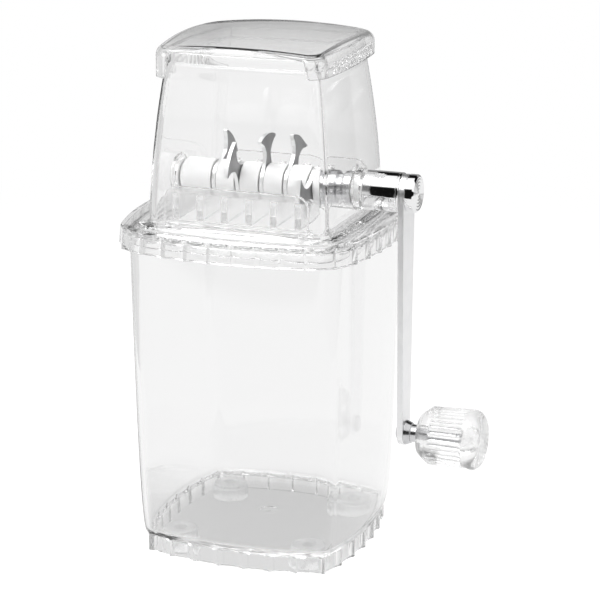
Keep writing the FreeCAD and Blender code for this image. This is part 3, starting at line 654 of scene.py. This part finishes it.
def make_housing():
    """One closed skin, with a boss and a bush's hole through each side wall."""
    housing = skin_rings("Hopper_housing", housing_rings(), loop=True)
    face_outwards(housing)
    axis = (0, 0, ROTOR_Z)
    right_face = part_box("right_bearing_bush")[1].x - BUSH_PROUD
    left_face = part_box("left_bearing_bush")[0].x
    inner_face = tower_half(ROTOR_Z) + TOWER_BOW - TOWER_WALL - BOSS_INSET
    past = 2 * MM
    thin = 0.02 * MM
    for name, start, end in (("right", inner_face, right_face), ("left", left_face, -inner_face)):
        outline = [(start, CENTRE), (start, BOSS_RADIUS), (end, BOSS_RADIUS), (end, CENTRE)]
        combine(housing, lathe("boss_" + name, outline, axis, radius=0.5 * MM), "UNION")
        outline = [(start - past, thin), (start - past, BUSH_HOLE), (end + past, BUSH_HOLE), (end + past, thin)]
        combine(housing, lathe("hole_" + name, outline, axis, radius=0.01 * MM), "DIFFERENCE")
    smooth(housing)
    dress(housing, "hopper_housing", "hopper", "clear_plastic")


def make_bushes():
    """Flanged white bushes, flange inside the tower; the left one is closed on the outside."""
    for node, closed in (("left_bearing_bush", True), ("right_bearing_bush", False)):
        start, end = span(node)
        low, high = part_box(node)
        flange = (high.z - low.z) / 2
        if closed:
            seat, cap = end - BUSH_FLANGE, start + BUSH_CAP
            outline = [(start, CENTRE), (start, BUSH_RADIUS), (seat, BUSH_RADIUS), (seat, flange),
                       (end, flange), (end, JOURNAL_BORE), (cap, JOURNAL_BORE), (cap, CENTRE)]
        else:
            seat = start + BUSH_FLANGE
            outline = [(end, SHAFT_BORE), (end, BUSH_RADIUS), (seat, BUSH_RADIUS), (seat, flange),
                       (start, flange), (start, SHAFT_BORE)]
        dress(lathe(node.capitalize(), outline, (0, 0, ROTOR_Z)), node, "hopper", "white_plastic")


# ---------------------------------------------------------------- lid
LID_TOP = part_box("lid")[1].z
LID_WALL = 2.2 * MM
LID_EDGE = 5.0 * MM                                 # round between the sides and the crown
LID_EDGE_STEPS = 12
LID_CROWN = 300.0 * MM                              # radius of the gentle dome
LID_HALF = tower_half(MOUTH - 8.0 * MM) + 1.4 * MM + LID_WALL
LID_PLAN = (LID_HALF, 9.5 * MM, 1.6 * MM)
GRIP_RIGHT = 8.0 * MM                               # how far the grips hang below the tower's mouth
GRIP_LEFT = 11.6 * MM
ARCH_HALF = 34.0 * MM
ARCH_RISE = 2.4 * MM
PAD_PITCH = 5.2 * MM                                # grip pads: two rows of 3 mm on each grip
PAD_ROW = 3.0 * MM
PAD_MARGIN = 0.6 * MM
PAD_HEIGHT = 0.9 * MM
SIDE_ROWS = 30
CROWN_ROWS = 18


def smoothstep(low, high, value):
    t = min(1.0, max(0.0, (value - low) / (high - low)))
    return t * t * (3 - 2 * t)


def grip_low(point):
    """Lower edge of the grip on the point's side of the lid."""
    return MOUTH - (GRIP_RIGHT if point.x > 0 else GRIP_LEFT)


def lid_low_edge(point):
    """How low the lid reaches at a point of its outline: grips left and right, arches front and back."""
    skirt = grip_low(point)
    if abs(point.y) < LID_HALF * 0.8:
        return skirt
    arch = MOUTH + ARCH_RISE * (1 - (point.x / ARCH_HALF) ** 2)
    share = smoothstep(ARCH_HALF + 0.9 * MM, ARCH_HALF - 0.9 * MM, abs(point.x))
    return mixed(skirt, max(arch, MOUTH), share)


def pad_height(point, z):
    """How far the small raised pads of the grips stand out, at a point of the outline and a height."""
    low = grip_low(point) + PAD_MARGIN
    if abs(point.x) < LID_HALF * 0.8 or not low < z < low + 2 * PAD_ROW:
        return 0.0
    along = 0.5 + 0.5 * math.cos(2 * math.pi * point.y / PAD_PITCH)
    up = abs(math.sin(math.pi * (z - low) / PAD_ROW))
    inside = 1 - smoothstep(26 * MM, 28 * MM, abs(point.y))
    return PAD_HEIGHT * smoothstep(0.4, 0.6, along) * smoothstep(0.35, 0.6, up) * inside


def lid_shell(inset, pads):
    """Rows of rings from the low edge up the sides, round the edge and over the crown."""
    edge = LID_EDGE - inset

    def turned_by(angle):
        """The outline as far in as the round edge has come at this angle."""
        return BowedSquare(*LID_PLAN, inset + edge * (1 - math.cos(angle))).ring(plain_stations(220), 0)

    def crown(point):
        return LID_TOP - LID_CROWN + math.sqrt((LID_CROWN - inset) ** 2 - point.x ** 2 - point.y ** 2)

    turned_in = [turned_by(QUARTER * k / LID_EDGE_STEPS) for k in range(LID_EDGE_STEPS + 1)]
    side_top = [crown(p) - edge for p in turned_in[-1]]
    low_edge = [lid_low_edge(p) for p in turned_in[0]]
    rings = []
    for row in range(SIDE_ROWS + 1):
        ring = []
        for i, point in enumerate(turned_in[0]):
            upright = max(0.0, side_top[i] - low_edge[i])
            first = math.asin(min(1.0, max(0.0, (low_edge[i] - side_top[i]) / edge)))
            run = (upright + edge * (QUARTER - first)) * row / SIDE_ROWS
            if run < upright:
                z = low_edge[i] + run
                push = math.copysign(pad_height(point, z), point.x) if pads else 0.0
                ring.append(Vector((point.x + push, point.y, z)))
            else:
                angle = min(first + (run - upright) / edge, QUARTER)
                step = angle / QUARTER * LID_EDGE_STEPS
                k = min(int(step), LID_EDGE_STEPS - 1)
                p = turned_in[k][i].lerp(turned_in[k + 1][i], step - k)
                ring.append(Vector((p.x, p.y, side_top[i] + edge * math.sin(angle))))
        rings.append(ring)
    for k in range(1, CROWN_ROWS):
        flat = [p * (1 - k / CROWN_ROWS) for p in turned_in[-1]]
        rings.append([Vector((p.x, p.y, crown(p))) for p in flat])
    return rings


def make_lid():
    rings = list(reversed(lid_shell(0.0, True))) + lid_shell(LID_WALL, False)
    lid = skin_rings("Lid", rings)
    face_outwards(lid)
    ease_edges(lid, 0.3 * MM, 60)
    dress(lid, "lid", "lid", "clear_plastic")


# ---------------------------------------------------------------- rotor
DRUM_RADIUS = 9.0 * MM
DRUM_BORE = 3.3 * MM
DRUM_SUNK = 7.2 * MM                                # bottom of the groove beside a claw
DRUM_GROOVE = 0.4 * MM
DRUM_TAPER = 2.4 * MM
DRUM_TIP = 6.4 * MM


def make_drum():
    """White collars between the claws, with a fine groove beside each claw."""
    def turned(node, outline):
        piece = lathe(node.capitalize(), outline, (0, 0, ROTOR_Z), segments=128, radius=0.3 * MM)
        dress(piece, node, "rotor", "white_plastic")

    def grooved_start(x):
        return [(x, DRUM_BORE), (x, DRUM_SUNK), (x + DRUM_GROOVE, DRUM_SUNK), (x + DRUM_GROOVE, DRUM_RADIUS)]

    def grooved_end(x):
        return [(x - DRUM_GROOVE, DRUM_RADIUS), (x - DRUM_GROOVE, DRUM_SUNK), (x, DRUM_SUNK), (x, DRUM_BORE)]

    for number in range(1, 5):
        node = "drum_spacer_%d" % number
        start, end = span(node)
        turned(node, grooved_start(start) + grooved_end(end))
    start, end = span("drum_right_end")
    turned("drum_right_end", grooved_start(start) + [(end, DRUM_RADIUS), (end, DRUM_BORE)])
    start, end = span("drum_left_end")
    cone = [(start, DRUM_BORE), (start, DRUM_TIP), (start + DRUM_TAPER, DRUM_RADIUS)]
    turned("drum_left_end", cone + grooved_end(end))


def make_thrust_hub():
    """Steel spool between drum and bush."""
    start, end = span("thrust_hub")
    third = (end - start) / 3
    flange, waist = 8.0 * MM, 6.6 * MM
    outline = [(start, SHAFT_BORE), (start, flange), (start + third, flange), (start + 1.2 * third, waist),
               (start + 1.8 * third, waist), (end - third, flange), (end, flange), (end, SHAFT_BORE)]
    dress(lathe("Thrust_hub", outline, (0, 0, ROTOR_Z), segments=128), "thrust_hub", "rotor", "shaft_steel")


def make_crank_sleeve():
    """Chromed tube with a fine groove near the crank's arm."""
    start, end = span("crank_sleeve")
    radius = 9.4 * MM
    groove = radius - 0.3 * MM
    outline = [(start, SHAFT_BORE), (start, radius - 0.5 * MM), (start + 0.5 * MM, radius),
               (end - 1.6 * MM, radius), (end - 1.5 * MM, groove), (end - 1.2 * MM, groove),
               (end - 1.1 * MM, radius), (end - 0.4 * MM, radius), (end, radius - 0.4 * MM), (end, SHAFT_BORE)]
    sleeve = lathe("Crank_sleeve", outline, (0, 0, ROTOR_Z), segments=160, radius=0.15 * MM)
    dress(sleeve, "crank_sleeve", "rotor", "chrome")


def make_cap_nut():
    """Chromed disc with turned rings on its face and a socket for the shaft's stub."""
    start, end = span("cap_nut")
    radius, socket_radius = 9.0 * MM, 2.6 * MM
    chamfer = 0.9 * MM
    ring_floor = end - 0.22 * MM
    outline = [(start, socket_radius), (start, radius - 0.3 * MM), (start + 0.3 * MM, radius),
               (end - chamfer, radius), (end, radius - chamfer)]
    for k in range(5):
        ring = (6.9 - 1.5 * k) * MM
        outline += [(end, ring + 0.75 * MM), (ring_floor, ring + 0.5 * MM), (ring_floor, ring + 0.2 * MM),
                    (end, ring)]
    socket_end = end - 0.9 * MM
    outline += [(end, CENTRE), (socket_end, CENTRE), (socket_end, socket_radius)]
    nut = lathe("Cap_nut", outline, (0, 0, ROTOR_Z), segments=160, radius=0.12 * MM)
    dress(nut, "cap_nut", "rotor", "chrome")


def make_knob_mount():
    """Stepped washer and the riveted spindle on which the knob turns."""
    start, end = span("knob_washer")
    middle = mixed(start, end, 0.45)
    outline = [(start, SPINDLE_BORE), (start, 6.0 * MM), (middle, 4.8 * MM), (middle, 4.2 * MM),
               (end, 4.2 * MM), (end, SPINDLE_BORE)]
    dress(lathe("Knob_washer", outline, (0, 0, KNOB_Z)), "knob_washer", "rotor", "shaft_steel")
    start, end = span("knob_spindle")
    arm_in, arm_out = span("crank_arm")
    head, neck, pin = 4.2 * MM, 2.2 * MM, 2.8 * MM
    groove = pin * 0.72
    outline = [(start, CENTRE), (start, head * 0.7), (start + 0.9 * MM, head), (arm_in, head), (arm_in, neck),
               (arm_out, neck), (arm_out, pin), (end - 2.6 * MM, pin), (end - 2.5 * MM, groove),
               (end - 1.5 * MM, groove), (end - 1.4 * MM, pin), (end, pin - 0.4 * MM), (end, CENTRE)]
    spindle = lathe("Knob_spindle", outline, (0, 0, KNOB_Z), radius=0.2 * MM)
    dress(spindle, "knob_spindle", "rotor", "shaft_steel")


# ---------------------------------------------------------------- knob
KNOB_NECK = 5.5 * MM                                # cone from the flat nose to the grip
KNOB_DOME = 6.0 * MM                                # length of the rounded outer end
KNOB_NEAR = 13.9 * MM                               # grip's radius by the arm
KNOB_FAR = 14.6 * MM                                # and at the dome
KNOB_NOSE = 9.5 * MM
KNOB_FACE = 9.0 * MM
KNOB_FLUTES = 36
KNOB_FLUTE_DEPTH = 0.55 * MM
KNOB_SOCKET = 22.4 * MM                             # depth of the spindle's hole


def make_knob():
    start, end = span("crank_knob")
    grip_start, grip_end = start + KNOB_NECK, end - KNOB_DOME
    socket_end = start + KNOB_SOCKET
    outline = [(start, SPINDLE_BORE), (start, KNOB_NOSE), (start + 2.2 * MM, KNOB_NOSE + 2.0 * MM),
               (grip_start, KNOB_NEAR)]
    outline += [(mixed(grip_start, grip_end, k / 12), mixed(KNOB_NEAR, KNOB_FAR, k / 12)) for k in range(1, 13)]
    for k in range(1, 9):
        angle = QUARTER * k / 8
        outline.append((grip_end + KNOB_DOME * math.sin(angle), mixed(KNOB_FACE, KNOB_FAR, math.cos(angle))))
    outline += [(end, CENTRE), (socket_end, CENTRE), (socket_end, SPINDLE_BORE)]
    middle = (grip_start + grip_end) / 2
    half_length = (grip_end - grip_start) / 2 - 1.6 * MM

    def flute(along, angle, radius):
        if radius < KNOB_NOSE:
            return radius
        fade = 1 - smoothstep(half_length - 1.0 * MM, half_length + 0.4 * MM, abs(along - middle))
        ridge = abs(math.sin(KNOB_FLUTES * angle / 2)) ** 0.7
        return radius - KNOB_FLUTE_DEPTH * fade * (1 - ridge)

    knob = lathe("Crank_knob", outline, (0, 0, KNOB_Z), segments=KNOB_FLUTES * 10, radius=0.5 * MM, swell=flute)
    dress(knob, "crank_knob", "knob", "clear_knob")


# ---------------------------------------------------------------- pieces kept from the CAD
def keep_cad_pieces():
    keep_node("front_comb", "clear_comb", 0.35 * MM)
    keep_node("rear_comb", "clear_comb", 0.35 * MM)
    keep_node("rotor_shaft", "shaft_steel", 0.25 * MM)
    keep_node("crank_arm", "arm_metal", 0.5 * MM)
    for number in range(1, 6):
        keep_node("claw_blade_%d" % number, "blade_steel", 0.2 * MM)


# ---------------------------------------------------------------- studio
# Rooms as bands of grey: (where the band ends, its level). MIRROR_ROOM runs in a circle over the
# object: 0 behind, 0.25 straight down, 0.5 in front, 0.75 straight up. CLEAR_ROOM runs from straight
# down, 0, to straight up, 1.
MIRROR_ROOM = ((0.06, 0.03), (0.44, 1.0), (0.605, 0.006), (0.825, 1.15), (0.93, 0.006), (1.0, 0.35))
CLEAR_ROOM = ((0.50, 0.97), (0.56, 0.6), (0.80, 0.25), (1.0, 1.0))
FLOOR_HALF = 0.9
FLOOR_GLOW = 0.76
FLAG_FRONT = -0.3
FLAG_HEIGHT = 0.6
FLAGS = (("Left_flag", -0.30, 0.35, 0.74), ("Right_flag", 0.34, 0.8, 0.5))     # x, back end, tone


def grey(level):
    return (level, level, level)


def band_ramp(bench, bands, share):
    """Stepped greys, with short soft steps between the bands."""
    stops, start = [], 0.0
    for end, level in bands:
        stops += [(start, grey(level)), (max(start, end - 0.01), grey(level))]
        start = end
    return bench.node("ShaderNodeValToRGB", {"stops": stops}, {0: share})


def make_world():
    """Mirrors find a dark room in front, a white softbox overhead and grey behind; clear walls
    find white at and below eye level and darker greys above it; the eye finds plain white."""
    world = bpy.data.worlds.new("studio")
    bpy.context.scene.world = world
    bench = Bench(world)

    def background(colour, strength=1.0):
        return bench.node("ShaderNodeBackground", {}, {"Color": colour, "Strength": strength})

    ways = bench.node("ShaderNodeTexCoord", output="Generated")
    y, z = (bench.node("ShaderNodeSeparateXYZ", {}, {0: ways}, axis) for axis in (1, 2))
    turn = z.math("ARCTAN2", z, 0.0 - y) * (0.5 / math.pi) + 0.5
    seen = background((*grey(0.84), 1.0), 0.8)
    for ray, room in (("Is Glossy Ray", background(band_ramp(bench, MIRROR_ROOM, turn))),
                      ("Is Transmission Ray", background(band_ramp(bench, CLEAR_ROOM, z * 0.5 + 0.5))),
                      ("Is Camera Ray", background((*grey(1.0), 1.0)))):
        share = bench.node("ShaderNodeLightPath", output=ray)
        seen = bench.node("ShaderNodeMixShader", {}, {0: share, 1: seen, 2: room})
    bench.node("ShaderNodeOutputWorld", {}, {"Surface": seen})


def make_floor():
    """Pale table that keeps a soft shadow and meets the white beyond it without a line.

    Clear walls find it a little darker under the object: a painted shadow. Its front part is dark to mirrors,
    like the room beyond it."""
    corners = [(-FLOOR_HALF, -FLOOR_HALF, 0), (FLOOR_HALF, -FLOOR_HALF, 0),
               (FLOOR_HALF, FLOOR_HALF, 0), (-FLOOR_HALF, FLOOR_HALF, 0)]
    floor = mesh_piece("Floor", corners, [(0, 1, 2, 3)])
    bench = material("floor")
    paper = bench.noise(40, 3.0)
    place = bench.place()
    depth = bench.node("ShaderNodeSeparateXYZ", {}, {0: place}, 1)
    away = bench.node("ShaderNodeVectorMath", {"operation": "LENGTH"}, {0: place}, 1)

    def share(value, start, end):
        return bench.node("ShaderNodeMapRange", {"interpolation_type": "SMOOTHSTEP"},
                          {"Value": value, "From Min": start, "From Max": end})

    def glow(level):
        return bench.node("ShaderNodeEmission", {}, {"Color": (*grey(1.0), 1.0), "Strength": level})

    def mix(by, first, second):
        return bench.node("ShaderNodeMixShader", {}, {0: by, 1: first, 2: second})

    through = bench.node("ShaderNodeLightPath", output="Is Transmission Ray")
    mirrored = bench.node("ShaderNodeLightPath", output="Is Glossy Ray") * (1.0 - through)
    matt = bench.node("ShaderNodeBsdfDiffuse", {}, {"Color": bench.blend(paper, grey(0.29), grey(0.31))})
    lit = bench.node("ShaderNodeAddShader", {}, {0: matt, 1: glow(FLOOR_GLOW)})
    lit = mix(share(away, 0.3, 0.75), lit, glow(1.0))
    # painted shadow: the table seen through clear walls is darker right under the object
    under = 0.76 + 0.24 * share(away, 0.05, 0.10)
    clear_view = glow((0.80 + 0.13 * share(depth, -0.16, -0.08)) * under)
    mirror_view = glow(0.006 + 0.974 * share(depth, -0.50, -0.44))
    surface = mix(through, mix(mirrored, lit, mirror_view), clear_view)
    floor.data.materials.append(bench.finish(surface))


def make_flags():
    """Grey cards left and right, seen only through clear walls, that draw the lines along the corners."""
    low, high = 0.004, FLAG_HEIGHT
    for name, x, back, tone in FLAGS:
        corners = [(x, FLAG_FRONT, low), (x, back, low), (x, back, high), (x, FLAG_FRONT, high)]
        flag = mesh_piece(name, corners, [(0, 1, 2, 3)])
        bench = material(name)
        colour = bench.blend(bench.noise(300, 3.0), grey(tone * 0.9), grey(tone))
        flag.data.materials.append(bench.finish(bench.node("ShaderNodeEmission", {}, {"Color": colour})))
        flag.visible_camera = flag.visible_diffuse = flag.visible_glossy = flag.visible_shadow = False


def area_lamp(name, place, target, size, power):
    lamp = bpy.data.lights.new(name, "AREA")
    lamp.shape = "RECTANGLE"
    lamp.size, lamp.size_y = size
    lamp.energy = power
    holder = bpy.data.objects.new(name, lamp)
    holder.location = place
    holder.rotation_euler = (Vector(target) - Vector(place)).to_track_quat("-Z", "Y").to_euler()
    holder.visible_camera = False
    bpy.context.scene.collection.objects.link(holder)


def make_lamps():
    area_lamp("Overhead_softbox", (-0.25, -0.35, 1.05), (0, 0, 0.15), (0.7, 0.7), 8.0)
    area_lamp("Side_softbox", (-0.95, -0.45, 0.55), (0, 0, 0.15), (0.5, 0.7), 4.5)


def make_camera():
    """Stands in front, a little to the right and above."""
    azimuth, elevation = math.radians(19.88), math.radians(16.24)
    distance, aside, lift = 1.141, 0.0154, -0.0063
    right = Vector((math.cos(azimuth), math.sin(azimuth), 0))
    level = Vector((math.sin(azimuth), -math.cos(azimuth), 0))
    back = level * math.cos(elevation) + Vector((0, 0, math.sin(elevation)))
    up = back.cross(right)
    middle = Vector((0, 0, LID_TOP / 2))
    place = middle + back * distance + right * aside + up * lift
    lens = bpy.data.cameras.new("Camera")
    lens.lens = 142.87
    lens.sensor_width = 36.0
    camera = bpy.data.objects.new("Camera", lens)
    turn = Matrix((right, up, back)).transposed()
    camera.matrix_world = Matrix.Translation(place) @ turn.to_4x4()
    bpy.context.scene.collection.objects.link(camera)
    bpy.context.scene.camera = camera


def set_light_paths():
    """Enough bounces for light to pass several clear walls."""
    cycles = bpy.context.scene.cycles
    cycles.max_bounces = 40
    cycles.transmission_bounces = 28
    cycles.glossy_bounces = 28
    cycles.transparent_max_bounces = 24
    bpy.context.scene.view_settings.view_transform = "Standard"


make_container()
make_feet()
make_housing()
make_bushes()
make_lid()
make_drum()
make_thrust_hub()
make_crank_sleeve()
make_cap_nut()
make_knob_mount()
make_knob()
keep_cad_pieces()
make_world()
make_floor()
make_flags()
make_lamps()
make_camera()
set_light_paths()
